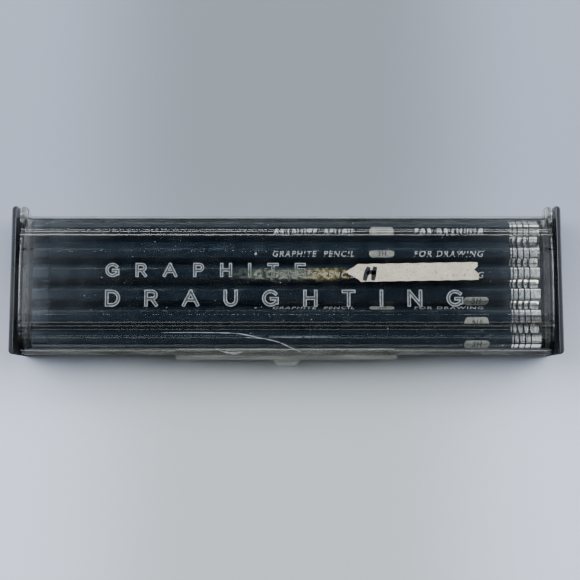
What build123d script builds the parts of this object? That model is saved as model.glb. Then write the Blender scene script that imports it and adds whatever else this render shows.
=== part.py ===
from build123d import *
import math
import os

# A hinged plastic case holding a dozen unsharpened hexagonal drafting pencils in two layers.
# Millimetres. X runs along the pencils, +Y points to the hinge side, Z is up, and the
# origin is the centre of the tray's underside.

# ---- Pencils -----------------------------------------------------------------
PENCIL_LENGTH = 177.8
PENCIL_ACROSS_FLATS = 6.75
PENCIL_CORNER_RADIUS = 1.4
PENCIL_END_CHAMFER = 0.35
PENCIL_PITCH = 7.45
PENCILS_PER_LAYER = 6
LAYER_COUNT = 2
LAYER_GAP = 0.08
LEAD_RADIUS = 1.0
LEAD_GLUE_GAP = 0.02
END_DIP_THICKNESS = 0.4

# ---- Tray --------------------------------------------------------------------
CASE_HEIGHT = 20.0
PARTING_Z = 10.0
FLOOR_THICKNESS = 1.5
CAVITY_HALF_X = 91.1
CAVITY_HALF_Y = 23.0
TRAY_HALF_Y = 24.2
CAVITY_CORNER_RADIUS = 1.0
UNDERSIDE_CHAMFER = 0.5

# The end plates stand the full height of the case and carry the hinge studs.
PLATE_OUTER_X = 95.3
PLATE_THICKNESS = 1.6
PLATE_INNER_X = PLATE_OUTER_X - PLATE_THICKNESS
PLATE_FRONT_Y = -24.7
PLATE_BACK_Y = 26.8
PLATE_FRONT_RADIUS = 1.5
PLATE_BACK_RADIUS = 1.3
PLATE_TOP_RADIUS = 0.45

# ---- Hinge -------------------------------------------------------------------
PIVOT_Y = 24.5
PIVOT_Z = PARTING_Z
STUD_RADIUS = 1.0
STUD_CLEARANCE = 0.07
STUD_INNER_X = 91.7
STUD_TIP_CHAMFER = 0.25
EAR_INNER_X = 89.9
EAR_WEB_X = 91.6
EAR_CAP_Z = 16.0
EAR_LOBE_RADIUS = PLATE_BACK_Y - PIVOT_Y
EAR_TOP_DROP = 0.5
EAR_BACK_RADIUS = 1.4
EAR_TOP_RADIUS = 1.4
NOTCH_RADIUS = 2.8
NOTCH_INNER_X = EAR_WEB_X - 0.3

# ---- Catch on the front wall ---------------------------------------------------
CATCH_HALF_LENGTH = 37.2
CATCH_DEPTH = 0.75
CATCH_BOTTOM_Z = 6.9
CATCH_TOP_Z = 9.0

# ---- Lid -----------------------------------------------------------------------
LID_HALF_X = 93.0
LID_WALL = 1.0
RIM_HALF_Y = 24.5
RIM_TOP_Z = 12.2
RIM_INNER_Y = 22.6
RIM_FRONT_CORNER_RADIUS = 1.5
SHOULDER_HEIGHT = 19.6
LID_END_RADIUS = 1.2
LID_SHOULDER_RADIUS = 0.8
# Half section of the lid under its beads, from the panel's edge down to the rim.
LID_OUTLINE = [
    (11.25, SHOULDER_HEIGHT),
    (14.20, 19.45),
    (17.30, 18.90),
    (19.90, 17.95),
    (23.10, 15.70),
    (23.50, RIM_TOP_Z),
]
PANEL_HALF_Y = 11.1
PANEL_EDGE_RADIUS = 0.25
BEAD_RISES = [0.24, 0.24, 0.30]
BEAD_DEPTH = 1.4
RIB_END_X = LID_HALF_X - 0.05
RIB_END_RADIUS = 1.35

# The hood hangs over the tray's catch and carries the thumb tab.
HOOD_HALF_LENGTH = 38.9
HOOD_OUTER_Y = -26.15
HOOD_WALL = 1.0
HOOD_BOTTOM_Z = 6.3
HOOD_TOP_Z = 11.3
HOOD_CORNER_RADIUS = 0.9
TAB_ROOT_HALF_WIDTH = 4.9
TAB_TIP_HALF_WIDTH = 3.2
TAB_TIP_Y = -28.4
TAB_BOTTOM_Z = 6.3
TAB_THICKNESS = 1.6
TAB_CORNER_RADIUS = 0.8

# ---- Paper tape stuck on the lid -------------------------------------------------
TAPE_THICKNESS = 0.12
TAPE_CENTRE = (43.5, 3.6)
TAPE_LENGTH = 46.4
TAPE_WIDTH = 6.1
TAPE_POINT_LENGTH = 4.5
TAPE_ANGLE = 1.0


def block(x0, x1, y0, y1, z0, z1):
    """Box between two corners."""
    size = Box(x1 - x0, y1 - y0, z1 - z0)
    return Pos((x0 + x1) / 2, (y0 + y1) / 2, (z0 + z1) / 2) * size


def rod(radius, x0, x1, y, z):
    """Cylinder along X."""
    bar = Rot(0, 90, 0) * Cylinder(radius, x1 - x0)
    return Pos((x0 + x1) / 2, y, z) * bar


def both_ends(shape):
    """The shape and its mirror image at the other end of the case."""
    return shape + mirror(shape, about=Plane.YZ)


def round_edges(shape, radius, test):
    """Fillets the edges that pass the test."""
    return fillet(shape.edges().filter_by(test), radius)


def is_vertical(edge):
    box = edge.bounding_box()
    return box.size.Z > 0.5 and box.size.X < 1e-4 and box.size.Y < 1e-4


# ---- Tray ------------------------------------------------------------------------
def tray_box():
    """The open trough below the parting line."""
    outer = block(-PLATE_OUTER_X + 0.5, PLATE_OUTER_X - 0.5, -TRAY_HALF_Y, TRAY_HALF_Y, 0, PARTING_Z)
    lower = outer.edges().filter_by(lambda e: e.bounding_box().max.Z < 0.01)
    outer = chamfer(lower.filter_by(Axis.X), UNDERSIDE_CHAMFER)
    cavity = block(-CAVITY_HALF_X, CAVITY_HALF_X, -CAVITY_HALF_Y, CAVITY_HALF_Y,
                   FLOOR_THICKNESS, CASE_HEIGHT)
    cavity = round_edges(cavity, CAVITY_CORNER_RADIUS, is_vertical)
    return outer - cavity


def end_plate():
    """Full-height plate closing the +X end, with rounded upright edges."""
    plate = block(PLATE_INNER_X, PLATE_OUTER_X, PLATE_FRONT_Y, PLATE_BACK_Y, 0, CASE_HEIGHT)

    def outer_upright(front):
        def test(edge):
            centre = edge.center()
            at_side = centre.Y < 0 if front else centre.Y > 0
            return is_vertical(edge) and centre.X > PLATE_INNER_X + 0.1 and at_side
        return test

    plate = round_edges(plate, PLATE_FRONT_RADIUS, outer_upright(True))
    plate = round_edges(plate, PLATE_BACK_RADIUS, outer_upright(False))
    plate = round_edges(plate, PLATE_TOP_RADIUS, lambda e: e.bounding_box().min.Z > CASE_HEIGHT - 0.01)
    lower = plate.edges().filter_by(lambda e: e.bounding_box().max.Z < 0.01)
    return chamfer(lower.filter_by(lambda e: e.center().X > PLATE_INNER_X + 0.1), UNDERSIDE_CHAMFER)


def hinge_stud():
    """Stud on the +X plate, pointing inwards."""
    stud = rod(STUD_RADIUS, STUD_INNER_X, PLATE_INNER_X + 0.3, PIVOT_Y, PIVOT_Z)
    tip = stud.edges().filter_by(lambda e: e.bounding_box().max.X < STUD_INNER_X + 0.01)
    return chamfer(tip, STUD_TIP_CHAMFER)


def catch_bar():
    """Bar along the front wall that the lid's hood covers."""
    front = -TRAY_HALF_Y - CATCH_DEPTH
    bar = block(-CATCH_HALF_LENGTH, CATCH_HALF_LENGTH, front, -TRAY_HALF_Y + 0.3,
                CATCH_BOTTOM_Z, CATCH_TOP_Z)
    outer = bar.edges().filter_by(Axis.X).filter_by(lambda e: e.center().Y < front + 0.01)
    return fillet(outer, CATCH_DEPTH * 0.6)


def base_tray():
    tray = tray_box() + both_ends(end_plate())
    notch = rod(NOTCH_RADIUS, NOTCH_INNER_X, PLATE_INNER_X, PIVOT_Y, PIVOT_Z)
    tray -= both_ends(notch)
    tray += both_ends(hinge_stud())
    tray += catch_bar()
    return tray


# ---- Lid ---------------------------------------------------------------------------
def mirrored_outline(points):
    """Closed Y-Z outline from a half outline, carried down past the parting line."""
    skirt_y = points[-1][0] + 0.6
    half = points + [(skirt_y, PARTING_Z - 3)]
    full = half + [(-y, z) for y, z in reversed(half)]
    return make_face(Polyline(*full, close=True))


def lid_section():
    section = mirrored_outline(LID_OUTLINE)
    soft = section.vertices().filter_by(lambda v: v.Y > RIM_TOP_Z + 1)
    return fillet(soft, LID_SHOULDER_RADIUS)


def lid_dome():
    """The lid's plain body under the beads, above the rim."""
    dome = extrude(Plane.YZ * lid_section(), LID_HALF_X, both=True)
    ends = dome.edges().filter_by(
        lambda e: e.bounding_box().size.X < 1e-4 and e.bounding_box().max.Z > RIM_TOP_Z + 0.5)
    dome = fillet(ends, LID_END_RADIUS)
    return dome & block(-100, 100, -30, 30, PARTING_Z, CASE_HEIGHT)


def lid_cavity():
    """The room inside the lid: one wall thickness in from the dome, wider at the rim."""
    inner = offset(lid_section(), -LID_WALL, kind=Kind.INTERSECTION)
    room = extrude(Plane.YZ * inner, CAVITY_HALF_X, both=True)
    rim_room = block(-CAVITY_HALF_X, CAVITY_HALF_X, -RIM_INNER_Y, RIM_INNER_Y,
                     PARTING_Z - 5, RIM_TOP_Z + 0.1)
    return room + round_edges(rim_room, CAVITY_CORNER_RADIUS * 0.5, is_vertical)


def round_ends(bar, top_z):
    """Rounds a lengthwise bar down at both its ends, from its crest at top_z."""
    side = Pos(0, (PARTING_Z + top_z) / 2) * Rectangle(2 * RIB_END_X, top_z - PARTING_Z)
    side = fillet(side.vertices().filter_by(lambda v: v.Y > top_z - 0.01), RIB_END_RADIUS)
    return bar & extrude(Plane.XZ * side, RIM_HALF_Y, both=True)


def raised_panel():
    """Flat raised panel along the middle of the lid."""
    panel = block(-LID_HALF_X, LID_HALF_X, -PANEL_HALF_Y, PANEL_HALF_Y,
                  SHOULDER_HEIGHT - BEAD_DEPTH, CASE_HEIGHT)
    long_edges = panel.edges().filter_by(Axis.X).filter_by(lambda e: e.center().Z > CASE_HEIGHT - 0.01)
    return round_ends(fillet(long_edges, PANEL_EDGE_RADIUS), CASE_HEIGHT)


def bead(start, end, rise):
    """Bead along the lid, bulging by rise from the chord start-end of the section."""
    (y0, z0), (y1, z1) = start, end
    chord = math.hypot(y1 - y0, z1 - z0)
    normal = ((z0 - z1) / chord, (y1 - y0) / chord)
    crest = ((y0 + y1) / 2 + normal[0] * rise, (z0 + z1) / 2 + normal[1] * rise)
    root_0 = (y0 - normal[0] * BEAD_DEPTH, z0 - normal[1] * BEAD_DEPTH)
    root_1 = (y1 - normal[0] * BEAD_DEPTH, z1 - normal[1] * BEAD_DEPTH)
    arc = ThreePointArc(start, crest, end)
    section = make_face(arc + Polyline(end, root_1, root_0, start))
    bar = extrude(Plane.YZ * section, LID_HALF_X, both=True)
    return round_ends(bar, bar.bounding_box().max.Z)


def beads():
    """Three beads on the front shoulder and three on the back."""
    spans = zip(LID_OUTLINE[:-1], LID_OUTLINE[1:], BEAD_RISES)
    back = Part() + [bead(start, end, rise) for start, end, rise in spans]
    return back + mirror(back, about=Plane.XZ)


def rim():
    """Flat flange round the lid's lower edge."""
    flange = block(-LID_HALF_X, LID_HALF_X, -RIM_HALF_Y, RIM_HALF_Y, PARTING_Z, RIM_TOP_Z)
    front = flange.edges().filter_by(is_vertical).filter_by(lambda e: e.center().Y < 0)
    flange = fillet(front, RIM_FRONT_CORNER_RADIUS)
    top = flange.edges().filter_by(Axis.X).filter_by(lambda e: e.center().Z > RIM_TOP_Z - 0.01)
    return fillet(top, 0.3)


def ear():
    """Hinge ear at the lid's +X back corner: a thin web round the pivot under a thicker cap."""
    top_z = SHOULDER_HEIGHT - EAR_TOP_DROP
    blade = block(EAR_INNER_X, LID_HALF_X - 0.1, RIM_INNER_Y - 1.2, PLATE_BACK_Y, PIVOT_Z, top_z)
    uprights = blade.edges().filter_by(is_vertical).filter_by(lambda e: e.center().Y > PIVOT_Y)
    blade = fillet(uprights, EAR_BACK_RADIUS)
    back_top = blade.edges().filter_by(
        lambda e: e.bounding_box().min.Z > top_z - 0.01 and e.center().Y > PIVOT_Y)
    blade = fillet(back_top, EAR_TOP_RADIUS * 0.6)
    blade -= block(EAR_INNER_X - 1, EAR_WEB_X, RIM_HALF_Y - 1, PLATE_BACK_Y + 1, 0, EAR_CAP_Z)
    lobe = rod(EAR_LOBE_RADIUS, EAR_WEB_X, LID_HALF_X - 0.1, PIVOT_Y, PIVOT_Z)
    lobe = fillet(lobe.edges(), 0.4)
    inside = block(EAR_INNER_X - 1, CAVITY_HALF_X, 0, RIM_INNER_Y, 0, CASE_HEIGHT)
    return blade + lobe - inside


def hood():
    """Skirt that hangs outside the catch, closed at both ends."""
    outer = block(-HOOD_HALF_LENGTH, HOOD_HALF_LENGTH, HOOD_OUTER_Y, -RIM_HALF_Y + 0.6,
                  HOOD_BOTTOM_Z, HOOD_TOP_Z)
    uprights = outer.edges().filter_by(is_vertical).filter_by(lambda e: e.center().Y < -RIM_HALF_Y)
    outer = fillet(uprights, HOOD_CORNER_RADIUS)
    inside = block(-HOOD_HALF_LENGTH + HOOD_WALL, HOOD_HALF_LENGTH - HOOD_WALL,
                   HOOD_OUTER_Y + HOOD_WALL, 0, HOOD_BOTTOM_Z - 1, PARTING_Z)
    wall_room = block(-HOOD_HALF_LENGTH - 1, HOOD_HALF_LENGTH + 1, -TRAY_HALF_Y - 0.2, 0,
                      HOOD_BOTTOM_Z - 1, PARTING_Z)
    return outer - inside - wall_room


def thumb_tab():
    """Tapered lip in the middle of the hood."""
    plan = make_face(Polyline(
        (-TAB_ROOT_HALF_WIDTH, HOOD_OUTER_Y + 0.5),
        (-TAB_ROOT_HALF_WIDTH, HOOD_OUTER_Y),
        (-TAB_TIP_HALF_WIDTH, TAB_TIP_Y),
        (TAB_TIP_HALF_WIDTH, TAB_TIP_Y),
        (TAB_ROOT_HALF_WIDTH, HOOD_OUTER_Y),
        (TAB_ROOT_HALF_WIDTH, HOOD_OUTER_Y + 0.5), close=True))
    plan = fillet(plan.vertices().filter_by(lambda v: v.Y < TAB_TIP_Y + 0.1), TAB_CORNER_RADIUS)
    lip = extrude(Pos(0, 0, TAB_BOTTOM_Z) * plan, TAB_THICKNESS)
    edge = lip.edges().filter_by(lambda e: e.center().Y < HOOD_OUTER_Y - 0.3 and not is_vertical(e))
    return fillet(edge, 0.35)


def lid():
    shell = lid_dome() + raised_panel() + beads() + rim() + both_ends(ear())
    shell -= lid_cavity()
    bore = rod(STUD_RADIUS + STUD_CLEARANCE, EAR_WEB_X - 0.2, LID_HALF_X + 1, PIVOT_Y, PIVOT_Z)
    shell -= both_ends(bore)
    return shell + hood() + thumb_tab()


# ---- Pencils -------------------------------------------------------------------------
def pencil_section():
    hexagon = RegularPolygon(PENCIL_ACROSS_FLATS / 2, 6, major_radius=False)
    return fillet(hexagon.vertices(), PENCIL_CORNER_RADIUS)


def pencil_barrel(y, z):
    """Wooden casing, bored from its left end and closed by the dip at its right end."""
    body = extrude(Plane.YZ * pencil_section(), PENCIL_LENGTH / 2, both=True)
    end_edges = body.edges().filter_by(lambda e: e.bounding_box().size.X < 1e-4)
    body = chamfer(end_edges, PENCIL_END_CHAMFER)
    bore = rod(LEAD_RADIUS + LEAD_GLUE_GAP, -PENCIL_LENGTH / 2 - 1,
               PENCIL_LENGTH / 2 - END_DIP_THICKNESS, 0, 0)
    return Pos(0, y, z) * (body - bore)


def pencil_lead(y, z):
    """Graphite core, level with the left end of its casing."""
    return rod(LEAD_RADIUS, -PENCIL_LENGTH / 2, PENCIL_LENGTH / 2 - END_DIP_THICKNESS - 0.05, y, z)


def pencil_places():
    """Axis position (y, z) of each pencil, front to back, lower layer first."""
    first_z = FLOOR_THICKNESS + LAYER_GAP + PENCIL_ACROSS_FLATS / 2
    for layer in range(LAYER_COUNT):
        z = first_z + layer * (PENCIL_ACROSS_FLATS + LAYER_GAP)
        for row in range(PENCILS_PER_LAYER):
            yield (row - (PENCILS_PER_LAYER - 1) / 2) * PENCIL_PITCH, z


# ---- Tape --------------------------------------------------------------------------------
def tape_label():
    """Strip of paper tape on the raised panel, torn to a point at its left end."""
    half_length = TAPE_LENGTH / 2
    half_width = TAPE_WIDTH / 2
    plan = make_face(Polyline(
        (-half_length + TAPE_POINT_LENGTH, -half_width),
        (half_length, -half_width),
        (half_length, half_width),
        (-half_length + TAPE_POINT_LENGTH, half_width),
        (-half_length, 0), close=True))
    strip = extrude(plan, TAPE_THICKNESS)
    return Pos(*TAPE_CENTRE, CASE_HEIGHT) * Rot(0, 0, TAPE_ANGLE) * strip


def write(shape, node):
    """One STEP file per named piece."""
    shape.label = node
    export_step(shape, os.path.join("parts", node + ".step"))


os.makedirs("parts", exist_ok=True)
write(base_tray(), "base_tray")
write(lid(), "lid")
write(tape_label(), "tape_label")
for number, (y, z) in enumerate(pencil_places(), start=1):
    write(pencil_barrel(y, z), f"pencil_{number:02d}_barrel")
    write(pencil_lead(y, z), f"pencil_{number:02d}_lead")
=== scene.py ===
import math
import random

import bmesh
import bpy
from mathutils import Matrix, Vector
from mathutils.bvhtree import BVHTree


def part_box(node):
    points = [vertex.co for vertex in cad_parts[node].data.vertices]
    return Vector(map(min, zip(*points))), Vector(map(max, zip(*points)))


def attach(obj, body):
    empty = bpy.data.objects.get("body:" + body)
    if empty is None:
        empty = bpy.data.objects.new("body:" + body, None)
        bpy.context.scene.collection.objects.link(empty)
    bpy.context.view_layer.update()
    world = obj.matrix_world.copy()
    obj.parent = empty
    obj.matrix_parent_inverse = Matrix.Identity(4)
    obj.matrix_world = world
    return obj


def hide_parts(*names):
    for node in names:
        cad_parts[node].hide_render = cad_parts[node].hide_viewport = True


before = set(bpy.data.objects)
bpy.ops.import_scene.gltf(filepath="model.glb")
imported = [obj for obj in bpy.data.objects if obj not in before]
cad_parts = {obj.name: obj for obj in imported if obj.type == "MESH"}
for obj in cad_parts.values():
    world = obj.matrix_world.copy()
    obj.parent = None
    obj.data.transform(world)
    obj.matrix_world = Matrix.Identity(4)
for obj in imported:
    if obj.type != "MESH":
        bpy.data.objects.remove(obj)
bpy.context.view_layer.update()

MM = 0.001
SEED = 7

# ---- Places taken from the frame -----------------------------------------------------
tray_low, _ = (Vector(corner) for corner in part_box("base_tray"))
lid_low, lid_high = (Vector(corner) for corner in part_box("lid"))
tape_low, tape_high = (Vector(corner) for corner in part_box("tape_label"))
barrel_low, barrel_high = (Vector(corner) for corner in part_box("pencil_07_barrel"))

LID_TOP = lid_high.z
RIM_TOP = 12.2 * MM
RIM_BACK = 24.5 * MM
PENCIL_LEFT = barrel_low.x
PENCIL_RIGHT = barrel_high.x

# ---- Camera --------------------------------------------------------------------------
CAMERA_TILT = math.radians(6.0)
CAMERA_DISTANCE = 0.358
CAMERA_LENS = 64.5
SENSOR_WIDTH = 36.0
AIM = Vector((1.28 * MM, -2.6 * MM, LID_TOP))
RAY_START = 0.05

# ---- Marks on the lid and the pencils ------------------------------------------------
LEGEND_RELIEF = 0.05 * MM
LEGEND_RIM = 0.27 * MM
LEGEND_CELL = 0.08 * MM
TAPE_SIZE = (46.4 * MM, 6.1 * MM)
TAPE_ANGLE = math.radians(1.0)
TAPE_POINT = 5.0 * MM
TAPE_POINT_SIDE = 0.12
TAPE_THICKNESS = tape_high.z - tape_low.z
GLUE_CENTRE = (1.6 * MM, 2.9 * MM)
GLUE_SIZE = (44.0 * MM, 5.6 * MM)
SPECK_COUNT = 90
SPECK_SIDES = 7
SPECK_Y_RANGE = (-21.5, 22.5)
BADGE_LENGTH = 8.8 * MM
BADGE_HEIGHT = 2.6 * MM
GRADE_STROKE = 0.36 * MM
GRADE_GAP = 0.55
BARREL_APOTHEM = (barrel_high.z - barrel_low.z) / 2
FONT_CAP_HEIGHT = 0.70

# ---- Room ----------------------------------------------------------------------------
WORLD_DARK = 0.012
WORLD_GLOW = 0.09
WORLD_ENDS = 2.3
# Where each glow sets in, as the X part of the direction looked in.
NEAR_ENDS = (0.15, 0.19)
FAR_ENDS = (0.226, 0.268)
FLOOR_SIZE = 3.0
FLOOR_DROP = 0.0001


# ---- Node helpers --------------------------------------------------------------------
class Nodes:
    """A small helper for building one material's node tree."""

    def __init__(self, name):
        self.material = bpy.data.materials.new(name)
        self.material.use_nodes = True
        self.tree = self.material.node_tree
        self.tree.nodes.clear()
        self.output = self.tree.nodes.new("ShaderNodeOutputMaterial")

    def add(self, kind, **values):
        """Adds a node; values are inputs by name, or node settings."""
        node = self.tree.nodes.new("ShaderNode" + kind)
        for key, value in values.items():
            name = key.replace("_", " ")
            if hasattr(node, key):
                setattr(node, key, value)
            elif isinstance(value, bpy.types.NodeSocket):
                self.tree.links.new(value, node.inputs[name])
            else:
                node.inputs[name].default_value = value
        return node

    def link(self, source, target):
        self.tree.links.new(source, target)

    def math(self, operation, a, b=None, c=None, clamp=False):
        node = self.tree.nodes.new("ShaderNodeMath")
        node.operation = operation
        node.use_clamp = clamp
        for socket, value in zip(node.inputs, (a, b, c)):
            if isinstance(value, bpy.types.NodeSocket):
                self.tree.links.new(value, socket)
            elif value is not None:
                socket.default_value = value
        return node.outputs[0]

    def mix(self, factor, a, b):
        """Mix of two colours."""
        node = self.tree.nodes.new("ShaderNodeMix")
        node.data_type = "RGBA"
        for socket, value in ((node.inputs[0], factor), (node.inputs[6], a), (node.inputs[7], b)):
            if isinstance(value, bpy.types.NodeSocket):
                self.tree.links.new(value, socket)
            elif socket == node.inputs[0]:
                socket.default_value = value
            else:
                socket.default_value = (*value, 1.0)
        return node.outputs[2]

    def place(self):
        """The point in the piece's own coordinates, which are the frame's."""
        return self.add("TexCoord").outputs["Object"]

    def axes(self):
        return self.add("SeparateXYZ", Vector=self.place()).outputs

    def noise(self, scale, detail=4.0, stretch=(1, 1, 1), roughness=0.5, seed=0.0):
        """Noise with scale in features per metre."""
        mapping = self.add("Mapping", Vector=self.place())
        mapping.inputs["Scale"].default_value = stretch
        mapping.inputs["Location"].default_value = (seed, seed * 0.7, seed * 1.3)
        node = self.add("TexNoise", Vector=mapping.outputs[0], Scale=scale, Detail=detail,
                        Roughness=roughness)
        return node.outputs["Fac"]

    def ramp(self, value, low, high, to_low=0.0, to_high=1.0):
        """Smooth step from to_low at low to to_high at high."""
        node = self.tree.nodes.new("ShaderNodeMapRange")
        node.interpolation_type = "SMOOTHSTEP"
        node.clamp = True
        self.tree.links.new(value, node.inputs["Value"])
        node.inputs["From Min"].default_value = low
        node.inputs["From Max"].default_value = high
        node.inputs["To Min"].default_value = to_low
        node.inputs["To Max"].default_value = to_high
        return node.outputs[0]

    def bump(self, height, strength, distance):
        node = self.add("Bump", Strength=strength, Distance=distance)
        self.tree.links.new(height, node.inputs["Height"])
        return node.outputs[0]

    def finish(self, shader):
        self.tree.links.new(shader, self.output.inputs["Surface"])
        return self.material


# ---- Materials -----------------------------------------------------------------------
def tray_plastic():
    n = Nodes("black_moulded_plastic")
    haze = n.noise(60, 5, (1, 1, 1))
    scratch = n.noise(900, 2, (0.06, 1, 1), seed=3.0)
    colour = n.mix(n.ramp(haze, 0.4, 0.75), (0.006, 0.007, 0.009), (0.016, 0.017, 0.020))
    rough = n.math("ADD", n.ramp(haze, 0.35, 0.7, 0.22, 0.36), n.ramp(scratch, 0.62, 0.72, 0.0, 0.2))
    shader = n.add("BsdfPrincipled", Base_Color=colour, Roughness=rough)
    shader.inputs["IOR"].default_value = 1.55
    n.link(n.bump(n.noise(2500, 2), 0.05, 0.0002), shader.inputs["Normal"])
    return n.finish(shader.outputs[0])


def lid_plastic():
    """Clear polystyrene, hazed and yellowed along its rim and ears, with scuffs and specks."""
    n = Nodes("clear_polystyrene")
    axes = n.axes()
    cloud = n.noise(45, 4, seed=5.0)
    scratch = n.noise(1500, 2, (0.04, 1, 1), seed=9.0)
    rough = n.math("ADD", n.ramp(cloud, 0.35, 0.75, 0.01, 0.03), n.ramp(scratch, 0.68, 0.76, 0.0, 0.03))
    glass = n.add("BsdfPrincipled", Roughness=rough)
    glass.inputs["Base Color"].default_value = (0.97, 0.97, 0.95, 1.0)
    glass.inputs["Transmission Weight"].default_value = 1.0
    glass.inputs["IOR"].default_value = 1.59
    clear = n.add("BsdfTransparent")
    clear.inputs["Color"].default_value = (0.86, 0.86, 0.84, 1.0)
    window = n.add("MixShader")
    n.link(n.add("LightPath").outputs["Is Shadow Ray"], window.inputs[0])
    n.link(glass.outputs[0], window.inputs[1])
    n.link(clear.outputs[0], window.inputs[2])

    below_walls = n.ramp(axes["Z"], RIM_TOP + 0.3 * MM, RIM_TOP - 0.1 * MM)
    at_ears = n.ramp(axes["Y"], RIM_BACK - 0.2 * MM, RIM_BACK + 0.2 * MM, 0.0, 0.6)
    edges = n.math("MAXIMUM", below_walls, at_ears)
    mottle = n.ramp(n.noise(500, 4, (0.15, 1, 1), seed=1.0), 0.35, 0.7, 0.10, 0.26)
    specks = n.ramp(n.noise(1300, 1, seed=12.0), 0.80, 0.82, 0.0, 0.45)
    scuffs = n.ramp(n.noise(2200, 3, (0.03, 1, 1), seed=15.0), 0.72, 0.82, 0.0, 0.10)
    handled = n.ramp(n.math("ABSOLUTE", axes["X"]), 62 * MM, 88 * MM, 0.0, 0.014)
    veil = n.math("MULTIPLY", n.ramp(n.noise(160, 6, (1, 0.6, 1), seed=8.0), 0.38, 0.70, 0.15, 1.0),
                  n.math("ADD", handled, 0.004))
    worn = n.math("MAXIMUM", n.math("MULTIPLY", edges, mottle), n.math("MAXIMUM", specks, scuffs))
    haze = n.add("BsdfPrincipled", Base_Color=n.mix(edges, (0.62, 0.66, 0.70), (0.46, 0.46, 0.41)))
    haze.inputs["Roughness"].default_value = 0.45
    surface = n.add("MixShader")
    n.link(n.math("MAXIMUM", worn, veil), surface.inputs[0])
    n.link(window.outputs[0], surface.inputs[1])
    n.link(haze.outputs[0], surface.inputs[2])
    return n.finish(surface.outputs[0])


def band_mask(n, x, bands):
    """One inside any of the (start, end) ranges of x."""
    total = None
    for start, end in bands:
        inside = n.math("MULTIPLY", n.math("GREATER_THAN", x, start), n.math("LESS_THAN", x, end))
        total = inside if total is None else n.math("ADD", total, inside)
    return total


# Silver bands of a pencil, in millimetres: each band's two edges, from the banded end.
BANDS = [(0.0, 3.6), (4.05, 5.6), (6.1, 7.7), (8.25, 9.45), (9.85, 10.45)]
DIP_LENGTH = 5.8


def pencil_lacquer():
    n = Nodes("slate_lacquer")
    x = n.axes()["X"]
    normal = n.add("SeparateXYZ", Vector=n.add("NewGeometry").outputs["Normal"]).outputs["X"]
    edges = [(PENCIL_RIGHT - far * MM, PENCIL_RIGHT - near * MM + (0.001 if near == 0 else 0))
             for near, far in BANDS]
    silver = band_mask(n, x, edges)
    wear = n.noise(300, 4, seed=2.0)
    slate = n.mix(n.ramp(wear, 0.3, 0.8), (0.004, 0.008, 0.013), (0.009, 0.015, 0.021))
    dip = n.mix(n.math("LESS_THAN", x, PENCIL_LEFT + DIP_LENGTH * MM), slate, (0.014, 0.020, 0.028))
    cut = n.math("LESS_THAN", normal, -0.95)
    wood = n.mix(n.noise(1200, 4, (1, 1, 0.3), seed=4.0), (0.30, 0.17, 0.09), (0.44, 0.28, 0.16))
    colour = n.mix(silver, dip, (0.90, 0.90, 0.88))
    colour = n.mix(cut, colour, wood)
    rough = n.math("ADD", n.ramp(wear, 0.3, 0.8, 0.10, 0.17), n.math("MULTIPLY", cut, 0.5))
    shader = n.add("BsdfPrincipled", Base_Color=colour, Roughness=rough)
    n.link(n.math("MULTIPLY", silver, n.math("SUBTRACT", 1.0, cut)), shader.inputs["Metallic"])
    n.link(n.bump(n.noise(700, 3), 0.12, 0.0002), shader.inputs["Normal"])
    return n.finish(shader.outputs[0])


def graphite():
    n = Nodes("graphite_core")
    grain = n.noise(3000, 3)
    colour = n.mix(grain, (0.020, 0.020, 0.022), (0.060, 0.060, 0.065))
    shader = n.add("BsdfPrincipled", Base_Color=colour, Metallic=0.4, Roughness=0.45)
    n.link(n.bump(grain, 0.2, 0.0001), shader.inputs["Normal"])
    return n.finish(shader.outputs[0])


def paper():
    n = Nodes("old_paper_tape")
    fibre = n.noise(2600, 5, (0.5, 1, 1))
    speck = n.noise(1000, 3, seed=6.0)
    stain = n.ramp(n.noise(260, 4, seed=17.0), 0.35, 0.75)
    colour = n.mix(n.ramp(fibre, 0.35, 0.7), (0.54, 0.47, 0.33), (0.72, 0.65, 0.49))
    colour = n.mix(stain, colour, (0.50, 0.44, 0.32))
    colour = n.mix(n.ramp(speck, 0.60, 0.70, 0.0, 0.8), colour, (0.22, 0.17, 0.11))
    shader = n.add("BsdfPrincipled", Base_Color=colour, Roughness=0.85)
    n.link(n.bump(fibre, 0.4, 0.0002), shader.inputs["Normal"])
    return n.finish(shader.outputs[0])


def floor_with_painted_light():
    """Pale paper with light and shade painted into it: cooler and lighter towards both sides as painted
    side light, lighter towards the front, and darker towards the back as painted shade.
    """
    n = Nodes("floor")
    axes = n.axes()
    # Painted side light: paler and cooler beyond the case's ends.
    side = n.ramp(n.math("ABSOLUTE", axes["X"]), 30 * MM, 100 * MM)
    painted_front_light = n.mix(side, (0.58, 0.60, 0.58), (0.84, 0.86, 0.95))
    painted_back_shade = n.mix(side, (0.23, 0.25, 0.265), (0.38, 0.40, 0.47))
    # Painted shade behind the case, painted light in front of it.
    painted_light_ramp = n.ramp(axes["Y"], 40 * MM, -60 * MM, 0.0, 1.0)
    colour = n.mix(painted_light_ramp, painted_back_shade, painted_front_light)
    shader = n.add("BsdfPrincipled", Base_Color=colour, Roughness=0.75)
    n.link(n.bump(n.noise(60, 4), 0.1, 0.0005), shader.inputs["Normal"])
    return n.finish(shader.outputs[0])


def flat_ink(name, colour, roughness, grain=1800, fade=0.25):
    """Printed or stamped ink with a little mottling."""
    n = Nodes(name)
    mottle = n.ramp(n.noise(grain, 3, seed=21.0), 0.3, 0.7)
    dull = tuple(c * (1 - fade) for c in colour)
    shader = n.add("BsdfPrincipled", Base_Color=n.mix(mottle, dull, colour), Roughness=roughness)
    n.link(n.bump(mottle, 0.2, 0.00005), shader.inputs["Normal"])
    return n.finish(shader.outputs[0])


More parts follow.
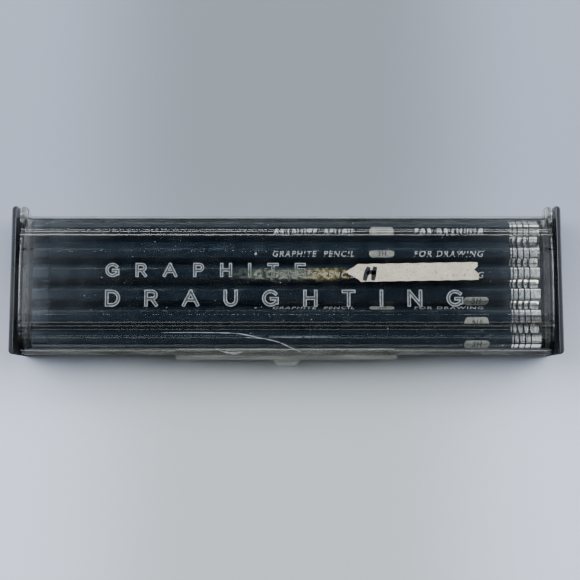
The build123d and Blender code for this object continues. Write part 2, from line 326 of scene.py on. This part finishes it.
def silver_foil():
    """Hot-stamped silver foil, slightly rubbed."""
    n = Nodes("silver_foil")
    rub = n.ramp(n.noise(1600, 4, seed=24.0), 0.30, 0.62)
    colour = n.mix(rub, (0.22, 0.23, 0.23), (0.52, 0.53, 0.52))
    shader = n.add("BsdfPrincipled", Base_Color=colour, Roughness=0.38, Metallic=0.35)
    n.link(n.bump(rub, 0.15, 0.00004), shader.inputs["Normal"])
    return n.finish(shader.outputs[0])


def see_through(n, surface, cover):
    """Shows a shader where cover is 1, and what is behind it where cover is 0."""
    mix = n.add("MixShader")
    n.link(cover, mix.inputs[0])
    n.link(n.add("BsdfTransparent").outputs[0], mix.inputs[1])
    n.link(surface, mix.inputs[2])
    return n.finish(mix.outputs[0])


def old_glue():
    """Dried adhesive: grey-olive and lumpy, yellower by the tape, thinning out at its edges."""
    n = Nodes("dried_adhesive")
    lumps = n.noise(900, 6, (0.8, 1, 1), seed=31.0)
    axes = n.axes()
    along = n.math("ABSOLUTE", n.math("SUBTRACT", axes["X"], GLUE_CENTRE[0]))
    across = n.math("ABSOLUTE", n.math("SUBTRACT", axes["Y"], GLUE_CENTRE[1]))
    thin = n.math("ADD", n.ramp(along, GLUE_SIZE[0] * 0.25, GLUE_SIZE[0] * 0.5, 0.0, 0.22),
                  n.ramp(across, GLUE_SIZE[1] * 0.2, GLUE_SIZE[1] * 0.5, 0.0, 0.30))
    density = n.math("SUBTRACT", lumps, thin)
    cover = n.ramp(density, 0.20, 0.62, 0.0, 0.8)
    yellow = n.ramp(axes["X"], GLUE_CENTRE[0], GLUE_CENTRE[0] + GLUE_SIZE[0] * 0.5)
    film = n.mix(yellow, (0.055, 0.062, 0.045), (0.30, 0.23, 0.06))
    crust = n.mix(yellow, (0.17, 0.18, 0.125), (0.42, 0.35, 0.16))
    shader = n.add("BsdfPrincipled", Base_Color=n.mix(n.ramp(density, 0.40, 0.66), film, crust),
                   Roughness=0.5)
    n.link(n.bump(lumps, 0.6, 0.0002), shader.inputs["Normal"])
    return see_through(n, shader.outputs[0], cover)


def crack_and_highlight_face():
    """Fresh break in clear plastic, which scatters light; also used for a painted highlight line."""
    n = Nodes("crack_and_highlight_face")
    broken = n.noise(2400, 3, (0.25, 1, 1), seed=35.0)
    shader = n.add("BsdfPrincipled", Base_Color=n.mix(broken, (0.42, 0.44, 0.44), (0.80, 0.80, 0.76)),
                   Roughness=0.35)
    return see_through(n, shader.outputs[0], n.ramp(broken, 0.34, 0.50, 0.15, 0.85))


def assign(node, material):
    """Puts a material in every slot of a CAD node."""
    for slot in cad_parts[node].material_slots:
        slot.material = material


def dress_cad_nodes():
    assign("base_tray", tray_plastic())
    assign("lid", lid_plastic())
    assign("tape_label", paper())
    lacquer = pencil_lacquer()
    core = graphite()
    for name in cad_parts:
        if name.endswith("_barrel"):
            assign(name, lacquer)
        elif name.endswith("_lead"):
            assign(name, core)


# ---- Mesh helpers --------------------------------------------------------------------
def new_piece(name, vertices, faces, materials, body):
    """Adds a mesh piece that rides on a body."""
    mesh = bpy.data.meshes.new(name)
    mesh.from_pydata(vertices, [], faces)
    mesh.update()
    for material in materials:
        mesh.materials.append(material)
    piece = bpy.data.objects.new(name, mesh)
    bpy.context.collection.objects.link(piece)
    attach(piece, body)
    return piece


def grid_faces(columns, rows):
    """Faces of a grid whose vertices run row by row."""
    stride = columns + 1
    return [(j * stride + i, j * stride + i + 1, (j + 1) * stride + i + 1, (j + 1) * stride + i)
            for j in range(rows) for i in range(columns)]


def surface_of(node):
    """Search tree over a CAD node's mesh."""
    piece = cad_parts[node]
    bm = bmesh.new()
    bm.from_mesh(piece.data)
    bm.transform(piece.matrix_world)
    tree = BVHTree.FromBMesh(bm)
    bm.free()
    return tree


def height_on(tree, x, y, fallback):
    """Height of the upper surface at (x, y)."""
    hit = tree.ray_cast(Vector((x, y, RAY_START)), Vector((0, 0, -1)))[0]
    return hit.z if hit else fallback


def smooth_path(points, steps):
    """Catmull-Rom curve through points."""
    padded = [points[0]] + list(points) + [points[-1]]
    path = []
    for i in range(1, len(padded) - 2):
        p0, p1, p2, p3 = (Vector(p) for p in padded[i - 1:i + 3])
        for k in range(steps):
            t = k / steps
            path.append(0.5 * (2 * p1 + (p2 - p0) * t + (2 * p0 - 5 * p1 + 4 * p2 - p3) * t * t
                               + (3 * p1 - p0 - 3 * p2 + p3) * t ** 3))
    path.append(Vector(points[-1]))
    return path


# ---- Stroke lettering ----------------------------------------------------------------
def arc(cx, cy, rx, ry, start, end, steps=14):
    """Points of an elliptical arc, angles in degrees."""
    angles = (math.radians(start + (end - start) * i / steps) for i in range(steps + 1))
    return [(cx + rx * math.cos(a), cy + ry * math.sin(a)) for a in angles]


# Each letter: its width, and its strokes in a cell one unit high.
LETTERS = {
    "3": (0.62, [arc(0.28, 0.74, 0.28, 0.26, 150, -75) + arc(0.28, 0.25, 0.33, 0.25, 75, -150)]),
    "A": (1.02, [[(0, 0), (0.51, 1), (1.02, 0)], [(0.2, 0.36), (0.82, 0.36)]]),
    "D": (0.86, [[(0, 0), (0, 1), (0.36, 1)] + arc(0.36, 0.5, 0.5, 0.5, 90, -90) + [(0, 0)]]),
    "E": (0.72, [[(0.72, 0), (0, 0), (0, 1), (0.72, 1)], [(0, 0.5), (0.66, 0.5)]]),
    "G": (1.0, [arc(0.5, 0.5, 0.5, 0.5, 42, 325), [(0.98, 0.16), (0.98, 0.46), (0.58, 0.46)]]),
    "H": (0.80, [[(0, 0), (0, 1)], [(0.80, 0), (0.80, 1)], [(0, 0.5), (0.80, 0.5)]]),
    "I": (0.0, [[(0, 0), (0, 1)]]),
    "N": (0.84, [[(0, 0), (0, 1), (0.84, 0), (0.84, 1)]]),
    "P": (0.70, [[(0, 0), (0, 1), (0.42, 1)] + arc(0.42, 0.73, 0.28, 0.27, 90, -90) + [(0, 0.46)]]),
    "R": (0.74, [[(0, 0), (0, 1), (0.44, 1)] + arc(0.44, 0.73, 0.28, 0.27, 90, -90) + [(0, 0.46)],
                 [(0.40, 0.46), (0.74, 0)]]),
    "T": (0.76, [[(0, 1), (0.76, 1)], [(0.38, 1), (0.38, 0)]]),
    "U": (0.80, [[(0, 1), (0, 0.4)] + arc(0.4, 0.4, 0.4, 0.4, 180, 360) + [(0.80, 1)]]),
}


def nearest_on_strokes(point, strokes):
    """Distance from a point to the strokes, and the nearest point on them."""
    best = (1e9, point)
    for stroke in strokes:
        for (ax, ay), (bx, by) in zip(stroke[:-1], stroke[1:]):
            dx, dy = bx - ax, by - ay
            length = dx * dx + dy * dy
            t = ((point[0] - ax) * dx + (point[1] - ay) * dy) / length if length else 0
            reach = max(0, t - 1, -t) * math.sqrt(length)
            t = min(1, max(0, t))
            foot = (ax + dx * t, ay + dy * t)
            distance = math.hypot(point[0] - foot[0], point[1] - foot[1])
            if (reach and (ax, ay) == stroke[0]) or (bx, by) == stroke[-1]:
                distance = max(reach, math.sqrt(max(0, distance * distance - reach * reach)))
            if distance < best[0]:
                best = (distance, foot)
    return best


def stamped_letter(strokes, stroke_width, rim_width, cell):
    """Grid mesh of a letter's strokes with a raised rim along both edges of each stroke."""
    half = stroke_width / 2
    xs = [p[0] for stroke in strokes for p in stroke]
    ys = [p[1] for stroke in strokes for p in stroke]
    x0, y0 = min(xs) - half - cell, min(ys) - half - cell
    columns = int((max(xs) + half + cell - x0) / cell) + 2
    rows = int((max(ys) + half + cell - y0) / cell) + 2
    points = {}
    for i in range(columns):
        for j in range(rows):
            point = (x0 + i * cell, y0 + j * cell)
            distance, foot = nearest_on_strokes(point, strokes)
            if distance > half + cell * 0.75:
                continue
            if distance > half - cell * 0.25 and distance > 0:
                pull = half / distance
                point = (foot[0] + (point[0] - foot[0]) * pull, foot[1] + (point[1] - foot[1]) * pull)
                distance = half
            points[i, j] = (point, distance)
    order = {key: index for index, key in enumerate(points)}
    vertices, faces, rims = [], [], []
    for point, distance in points.values():
        on_rim = half - rim_width < distance < half - cell * 0.2
        vertices.append((*point, LEGEND_RELIEF if on_rim else LEGEND_RELIEF * 0.25))
    for (i, j) in points:
        corners = [(i, j), (i + 1, j), (i + 1, j + 1), (i, j + 1)]
        if all(corner in order for corner in corners):
            faces.append([order[corner] for corner in corners])
            middle = sum(points[corner][1] for corner in corners) / 4
            rims.append(middle > half - rim_width)
    return vertices, faces, rims


def legend_line(name, text, left, right, baseline, height, stroke_width):
    """Widely spaced letters stamped on the lid between two X positions."""
    widths = [LETTERS[letter][0] * height for letter in text]
    gap = (right - left - sum(widths)) / (len(text) - 1)
    vertices, faces, rims = [], [], []
    x = left
    for letter, width in zip(text, widths):
        strokes = [[(x + px * height, baseline + py * height) for px, py in stroke]
                   for stroke in LETTERS[letter][1]]
        letter_vertices, letter_faces, letter_rims = stamped_letter(
            strokes, stroke_width, LEGEND_RIM, LEGEND_CELL)
        start = len(vertices)
        vertices += [(vx, vy, LID_TOP + vz) for vx, vy, vz in letter_vertices]
        faces += [[start + index for index in face] for face in letter_faces]
        rims += letter_rims
        x += width + gap
    inks = [flat_ink("legend_ink_worn", (0.050, 0.058, 0.060), 0.45, 900, 0.8),
            flat_ink("legend_ink", (0.40, 0.41, 0.40), 0.4, 900, 0.5)]
    piece = new_piece(name, vertices, faces, inks, "lid")
    for polygon, rim in zip(piece.data.polygons, rims):
        polygon.material_index = 1 if rim else 0


# ---- Tape, glue, damage and a painted highlight on the lid ---------------------------
def torn_tape():
    """Paper tape with a pointed torn left end and a ragged right end, standing for the CAD strip."""
    rng = random.Random(SEED)
    length, width = TAPE_SIZE
    columns, rows = 150, 14
    turn = Matrix.Rotation(TAPE_ANGLE, 4, "Z")
    centre = (tape_low + tape_high) / 2
    notch = [rng.uniform(-0.5, 0.5) * MM for _ in range(rows + 1)]
    ragged = [rng.uniform(-0.25, 0.25) * MM for _ in range(rows + 1)]
    vertices = []
    for j in range(rows + 1):
        v = j / rows * 2 - 1
        left = -length / 2 + TAPE_POINT * abs(v - TAPE_POINT_SIDE) ** 0.9 + ragged[j] * 0.7
        bite = 1.5 * MM * math.exp(-((v - 0.15) / 0.28) ** 2)
        right = length / 2 - 0.3 * MM - bite - (0.4 * MM if v > 0.6 else 0) + notch[j] * 0.35
        for i in range(columns + 1):
            u = i / columns
            x = left + (right - left) * u
            y = v * width / 2 + 0.06 * MM * math.sin(u * 47 + 1.3 * v) * (abs(v) > 0.9)
            lift = 0.05 * MM * math.exp(-u * 28) + 0.04 * MM * math.exp(-(1 - u) * 40)
            ripple = 0.008 * MM * math.sin(u * 90 + v * 3)
            point = turn @ Vector((x, y, 0))
            vertices.append((point.x + centre.x, point.y + centre.y,
                             LID_TOP + TAPE_THICKNESS + lift + ripple))
    faces = grid_faces(columns, rows)
    tape = new_piece("tape_strip", vertices, faces, [paper()], "lid")
    thick = tape.modifiers.new("thickness", "SOLIDIFY")
    thick.thickness = TAPE_THICKNESS * 0.9
    thick.offset = -1
    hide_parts("tape_label")
    return turn, centre


def pen_mark(turn, centre):
    """Hand-drawn letter H in black pen on the tape, a hardness grade."""
    strokes = [
        [(-16.6, -2.75), (-16.1, -0.9), (-15.6, 0.6), (-14.9, 2.0)],
        [(-13.7, -2.7), (-13.4, -1.0), (-13.2, 0.4), (-12.75, 2.1)],
        [(-15.7, -0.5), (-14.6, 0.25), (-13.6, -0.1), (-12.6, 0.3)],
    ]
    vertices, faces = [], []
    for widest, stroke in zip((1.75, 1.75, 1.5), strokes):
        path = smooth_path([(x * MM, y * MM, 0) for x, y in stroke], 8)
        start = len(vertices)
        for k, point in enumerate(path):
            ahead = path[min(k + 1, len(path) - 1)] - path[max(k - 1, 0)]
            side = Vector((-ahead.y, ahead.x, 0)).normalized()
            taper = 0.72 + 0.28 * math.sin(math.pi * k / (len(path) - 1))
            for sign in (-1, 1):
                corner = turn @ (point + side * sign * widest * MM * taper / 2)
                vertices.append((corner.x + centre.x, corner.y + centre.y,
                                 LID_TOP + TAPE_THICKNESS + 0.03 * MM))
        for k in range(len(path) - 1):
            a = start + 2 * k
            faces.append((a, a + 1, a + 3, a + 2))
    new_piece("pen_mark", vertices, faces, [flat_ink("black_pen", (0.008, 0.008, 0.010), 0.5)],
              "lid")


def glue_smear():
    """Thin uneven film of old adhesive, left of the tape."""
    columns, rows = 90, 16
    vertices = []
    for j in range(rows + 1):
        for i in range(columns + 1):
            u, v = i / columns - 0.5, j / rows - 0.5
            lump = 0.012 * MM * (math.sin(u * 61 + v * 9) + math.sin(u * 23 - v * 17))
            vertices.append((GLUE_CENTRE[0] + u * GLUE_SIZE[0], GLUE_CENTRE[1] + v * GLUE_SIZE[1],
                             LID_TOP + 0.09 * MM + lump))
    faces = grid_faces(columns, rows)
    new_piece("glue_residue", vertices, faces, [old_glue()], "lid")


def bright_ribbon(name, points, width, tree, material):
    """Bright ribbon lying in the lid's surface along a smooth path of (x, y) in millimetres."""
    path = smooth_path([(x * MM, y * MM, 0) for x, y in points], 10)
    vertices, faces = [], []
    for k, point in enumerate(path):
        ahead = path[min(k + 1, len(path) - 1)] - path[max(k - 1, 0)]
        side = Vector((-ahead.y, ahead.x, 0)).normalized()
        taper = 0.35 + 0.65 * math.sin(math.pi * (k + 0.5) / len(path))
        for sign in (-1, 0, 1):
            spot = point + side * sign * width * MM * taper / 2
            lift = (0.035 if sign == 0 else 0.012) * MM
            vertices.append((spot.x, spot.y, height_on(tree, spot.x, spot.y, LID_TOP) + lift))
    for k in range(len(path) - 1):
        a = 3 * k
        faces.append((a, a + 1, a + 4, a + 3))
        faces.append((a + 1, a + 2, a + 5, a + 4))
    new_piece(name, vertices, faces, [material], "lid")


def lid_damage_and_highlight(tree):
    """The long break through the front beads, its branches, the split at the rim over the catch, and a
    painted highlight along the crown of the third front bead.
    """
    material = crack_and_highlight_face()
    bright_ribbon("crack_long", [(-43, -17.25), (-30, -17.2), (-17.5, -17.5), (-11.5, -18.5), (-5, -20.0)],
          0.20, tree, material)
    bright_ribbon("crack_rim", [(-14.0, -18.9), (-7.5, -19.3), (-2.5, -20.5), (1.6, -22.3), (5.6, -23.7)],
          0.26, tree, material)
    # Painted highlight: a bright line along the crown of the third front bead, drawn like the breaks.
    bright_ribbon("bead_crown_highlight", [(-6, -18.7), (2, -18.75), (9, -18.7), (16, -18.75)], 0.13, tree, material)
    bright_ribbon("crack_split", [(-24.5, -22.7), (-21.5, -23.6), (-18.5, -23.9), (-15.2, -23.6)],
          0.28, tree, material)
    bright_ribbon("crack_split_low", [(-21.5, -23.8), (-18.8, -24.3), (-16.5, -24.2)], 0.22, tree, material)


def specks(tree):
    """Dust grains on the lid."""
    rng = random.Random(SEED + 1)
    vertices, faces = [], []
    for _ in range(SPECK_COUNT):
        x = rng.uniform(lid_low.x + 2 * MM, lid_high.x - 2 * MM)
        y = rng.uniform(*SPECK_Y_RANGE) * MM
        size = rng.uniform(0.05, 0.16) * MM
        if rng.random() < 0.08:
            size *= 1.8
        z = height_on(tree, x, y, LID_TOP)
        start = len(vertices)
        vertices.append((x, y, z + size * 0.6))
        for k in range(SPECK_SIDES):
            reach = size * rng.uniform(0.6, 1.3)
            angle = 2 * math.pi * k / SPECK_SIDES
            vertices.append((x + reach * math.cos(angle), y + reach * math.sin(angle), z + 0.01 * MM))
        faces += [(start, start + 1 + k, start + 1 + (k + 1) % SPECK_SIDES) for k in range(SPECK_SIDES)]
    new_piece("dust_specks", vertices, faces, [flat_ink("dust", (0.42, 0.43, 0.42), 0.8)],
              "lid")


# ---- Pencil imprints -----------------------------------------------------------------
def text_outline(text, height, slant):
    """Flat widely spaced text in the built-in font, centred on 0, 0: its vertices and faces."""
    curve = bpy.data.curves.new("imprint_text", "FONT")
    curve.body = text
    curve.size = height / FONT_CAP_HEIGHT
    curve.shear = slant
    curve.offset = height * 0.012
    curve.space_character = 1.22
    curve.align_x = "CENTER"
    curve.resolution_u = 3
    holder = bpy.data.objects.new("imprint_text", curve)
    bpy.context.collection.objects.link(holder)
    mesh = holder.to_mesh()
    vertices = [(v.co.x, v.co.y - height / 2) for v in mesh.vertices]
    faces = [list(p.vertices) for p in mesh.polygons]
    holder.to_mesh_clear()
    bpy.data.objects.remove(holder)
    bpy.data.curves.remove(curve)
    return vertices, faces


def badge_shape(length, height, rows=14, columns=24):
    """Lozenge with round ends, as a grid fine enough to lie over a pencil's corner."""
    radius = height / 2
    vertices = []
    for j in range(rows + 1):
        y = -radius * math.cos(math.pi * j / rows)
        reach = length / 2 - radius + math.sqrt(max(0, radius * radius - y * y))
        vertices += [(reach * (2 * i / columns - 1), y) for i in range(columns + 1)]
    return vertices, grid_faces(columns, rows)


def grade_shape(text, height):
    """Stroke-lettered hardness grade, centred on 0, 0."""
    width = sum(LETTERS[letter][0] for letter in text) * height + GRADE_GAP * height * (len(text) - 1)
    vertices, faces = [], []
    x = -width / 2
    for letter in text:
        strokes = [[(x + px * height, (py - 0.5) * height) for px, py in stroke]
                   for stroke in LETTERS[letter][1]]
        letter_vertices, letter_faces, _ = stamped_letter(strokes, GRADE_STROKE, 0, LEGEND_CELL)
        start = len(vertices)
        vertices += [(vx, vy) for vx, vy, _ in letter_vertices]
        faces += [[start + index for index in face] for face in letter_faces]
        x += (LETTERS[letter][0] + GRADE_GAP) * height
    return vertices, faces


def mark_layers(kind, text, height):
    """Flat shapes of a mark: (shape, material index, lift above the lacquer)."""
    if kind == "badge":
        return [(badge_shape(BADGE_LENGTH, BADGE_HEIGHT), 1, 0.02 * MM),
                (grade_shape(text, height), 2, 0.035 * MM)]
    return [(text_outline(text, height, 0.22), 0, 0.035 * MM)]


def imprint(number, turned, marks):
    """Foil marks on a pencil, on its upper side, or on the flat turned by some degrees from it.

    Marks: (kind, text, centre x, centre across, height).
    """
    node = f"pencil_{number:02d}_barrel"
    low, high = (Vector(corner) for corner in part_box(node))
    axis = Vector((0, (low.y + high.y) / 2, (low.z + high.z) / 2))
    lacquer = surface_of(node)
    turn = Matrix.Rotation(math.radians(turned), 4, "X")
    vertices, faces, kinds = [], [], []
    for kind, text, x, across, height in marks:
        for (points, polygons), material_index, lift in mark_layers(kind, text, height):
            start = len(vertices)
            for px, py in points:
                y = py + across
                if turned:
                    vertices.append(axis + turn @ Vector((px + x, y, BARREL_APOTHEM + lift)))
                else:
                    z = height_on(lacquer, px + x, axis.y + y, high.z)
                    vertices.append((px + x, axis.y + y, z + lift))
            faces += [[start + index for index in polygon] for polygon in polygons]
            kinds += [material_index] * len(polygons)
    name = f"pencil_{number:02d}_imprint_{'turned' if turned else 'top'}"
    piece = new_piece(name, vertices, faces, [foil, badge_foil, badge_ink],
                      f"pencil_{number:02d}")
    for polygon, material_index in zip(piece.data.polygons, kinds):
        polygon.material_index = material_index


def imprints():
    """Each pencil has its name and grade on one flat and its grade again on another; only marks on
    upward flats are drawn: name and grade on pencils 1-6 and 10-12, the grade alone on 7-9, and pencil
    8's name on the flat turned 60 degrees.
    """
    name_side = [("text", "\u2022", -11.0 * MM, 0, 2.4 * MM),
                 ("text", "GRAPHITE  PENCIL", 9.3 * MM, 0, 2.0 * MM),
                 ("badge", "3H", 33.4 * MM, 0, 1.35 * MM),
                 ("text", "FOR DRAWING", 56.6 * MM, 0, 2.1 * MM)]
    name_low = [(kind, text, x, -0.55 * MM, height) for kind, text, x, _, height in name_side]
    grade_low = [("badge", "3H", 66.2 * MM, -2.2 * MM, 1.5 * MM)]
    for number in (10, 11, 12):
        imprint(number, 0, name_low)
    for number in (7, 8, 9):
        imprint(number, 0, grade_low)
    imprint(8, -60, name_side)
    for number in range(1, 7):
        imprint(number, 0, name_side)


# ---- Scene ---------------------------------------------------------------------------
def add_floor():
    bpy.ops.mesh.primitive_plane_add(size=FLOOR_SIZE, location=(0, 0, tray_low.z - FLOOR_DROP))
    floor = bpy.context.object
    floor.name = "floor"
    floor.data.materials.append(floor_with_painted_light())


def add_area(name, place, size, power, colour, aim=(0, 0, 0)):
    light = bpy.data.lights.new(name, "AREA")
    light.shape = "RECTANGLE"
    light.size, light.size_y = size
    light.energy = power
    light.color = colour
    lamp = bpy.data.objects.new(name, light)
    lamp.location = place
    lamp.rotation_euler = (Vector(aim) - Vector(place)).to_track_quat("-Z", "Y").to_euler()
    bpy.context.collection.objects.link(lamp)


def add_world():
    """A dim room: dark overhead where the camera hangs, and a window's glow towards both ends."""
    world = bpy.data.worlds.new("dim_room")
    world.use_nodes = True
    tree = world.node_tree
    axes = tree.nodes.new("ShaderNodeSeparateXYZ")
    tree.links.new(tree.nodes.new("ShaderNodeTexCoord").outputs["Generated"], axes.inputs[0])

    def step(value, low, high, amount):
        node = tree.nodes.new("ShaderNodeMapRange")
        node.interpolation_type = "SMOOTHSTEP"
        tree.links.new(value, node.inputs["Value"])
        node.inputs["From Min"].default_value = low
        node.inputs["From Max"].default_value = high
        node.inputs["To Max"].default_value = amount
        return node.outputs[0]

    def add(a, b):
        node = tree.nodes.new("ShaderNodeMath")
        tree.links.new(a, node.inputs[0])
        if isinstance(b, float):
            node.inputs[1].default_value = b
        else:
            tree.links.new(b, node.inputs[1])
        return node.outputs[0]

    def times(a, b):
        node = tree.nodes.new("ShaderNodeMath")
        node.operation = "MULTIPLY"
        tree.links.new(a, node.inputs[0])
        tree.links.new(b, node.inputs[1])
        return node.outputs[0]

    sideways = tree.nodes.new("ShaderNodeMath")
    sideways.operation = "ABSOLUTE"
    tree.links.new(axes.outputs["X"], sideways.inputs[0])
    near_ends = step(sideways.outputs[0], *NEAR_ENDS, WORLD_GLOW)
    far_ends = step(sideways.outputs[0], *FAR_ENDS, WORLD_ENDS)
    not_in_front = step(axes.outputs["Y"], -0.15, 0.05, 1.0)
    glow = add(times(add(near_ends, far_ends), not_in_front), WORLD_DARK)
    background = tree.nodes["Background"]
    background.inputs["Color"].default_value = (0.80, 0.88, 1.0, 1.0)
    tree.links.new(glow, background.inputs["Strength"])
    bpy.context.scene.world = world


def add_lights():
    cool = (0.84, 0.90, 1.0)
    warm = (1.0, 0.98, 0.94)
    add_area("left_softbox", (-0.78, 0.30, 0.50), (0.5, 0.5), 6.6, cool)
    add_area("right_softbox", (0.78, 0.30, 0.50), (0.5, 0.5), 6.0, cool)
    add_area("back_strip", (0.0, 0.95, 0.74), (1.3, 0.12), 3.4, warm)
    add_area("front_overhead", (0.0, -0.42, 0.85), (0.8, 0.10), 0.30, warm)


def add_camera():
    camera = bpy.data.cameras.new("camera")
    camera.lens = CAMERA_LENS
    camera.sensor_width = SENSOR_WIDTH
    camera.clip_start = 0.01
    eye = bpy.data.objects.new("camera", camera)
    eye.location = AIM + CAMERA_DISTANCE * Vector((0, -math.sin(CAMERA_TILT), math.cos(CAMERA_TILT)))
    eye.rotation_euler = (CAMERA_TILT, 0, 0)
    bpy.context.collection.objects.link(eye)
    bpy.context.scene.camera = eye


dress_cad_nodes()
foil = silver_foil()
badge_foil = flat_ink("badge_foil", (0.27, 0.275, 0.24), 0.35, 1500, 0.45)
badge_ink = flat_ink("badge_ink", (0.020, 0.022, 0.024), 0.5)
lid_surface = surface_of("lid")
legend_line("legend_upper", "GRAPHITE", left=-61.9 * MM, right=6.2 * MM,
            baseline=2.45 * MM, height=3.8 * MM, stroke_width=1.05 * MM)
legend_line("legend_lower", "DRAUGHTING", left=-61.8 * MM, right=60.4 * MM,
            baseline=-7.75 * MM, height=4.65 * MM, stroke_width=1.15 * MM)
tape_turn, tape_centre = torn_tape()
pen_mark(tape_turn, tape_centre)
glue_smear()
lid_damage_and_highlight(lid_surface)
specks(lid_surface)
imprints()
add_floor()
add_world()
add_lights()
add_camera()
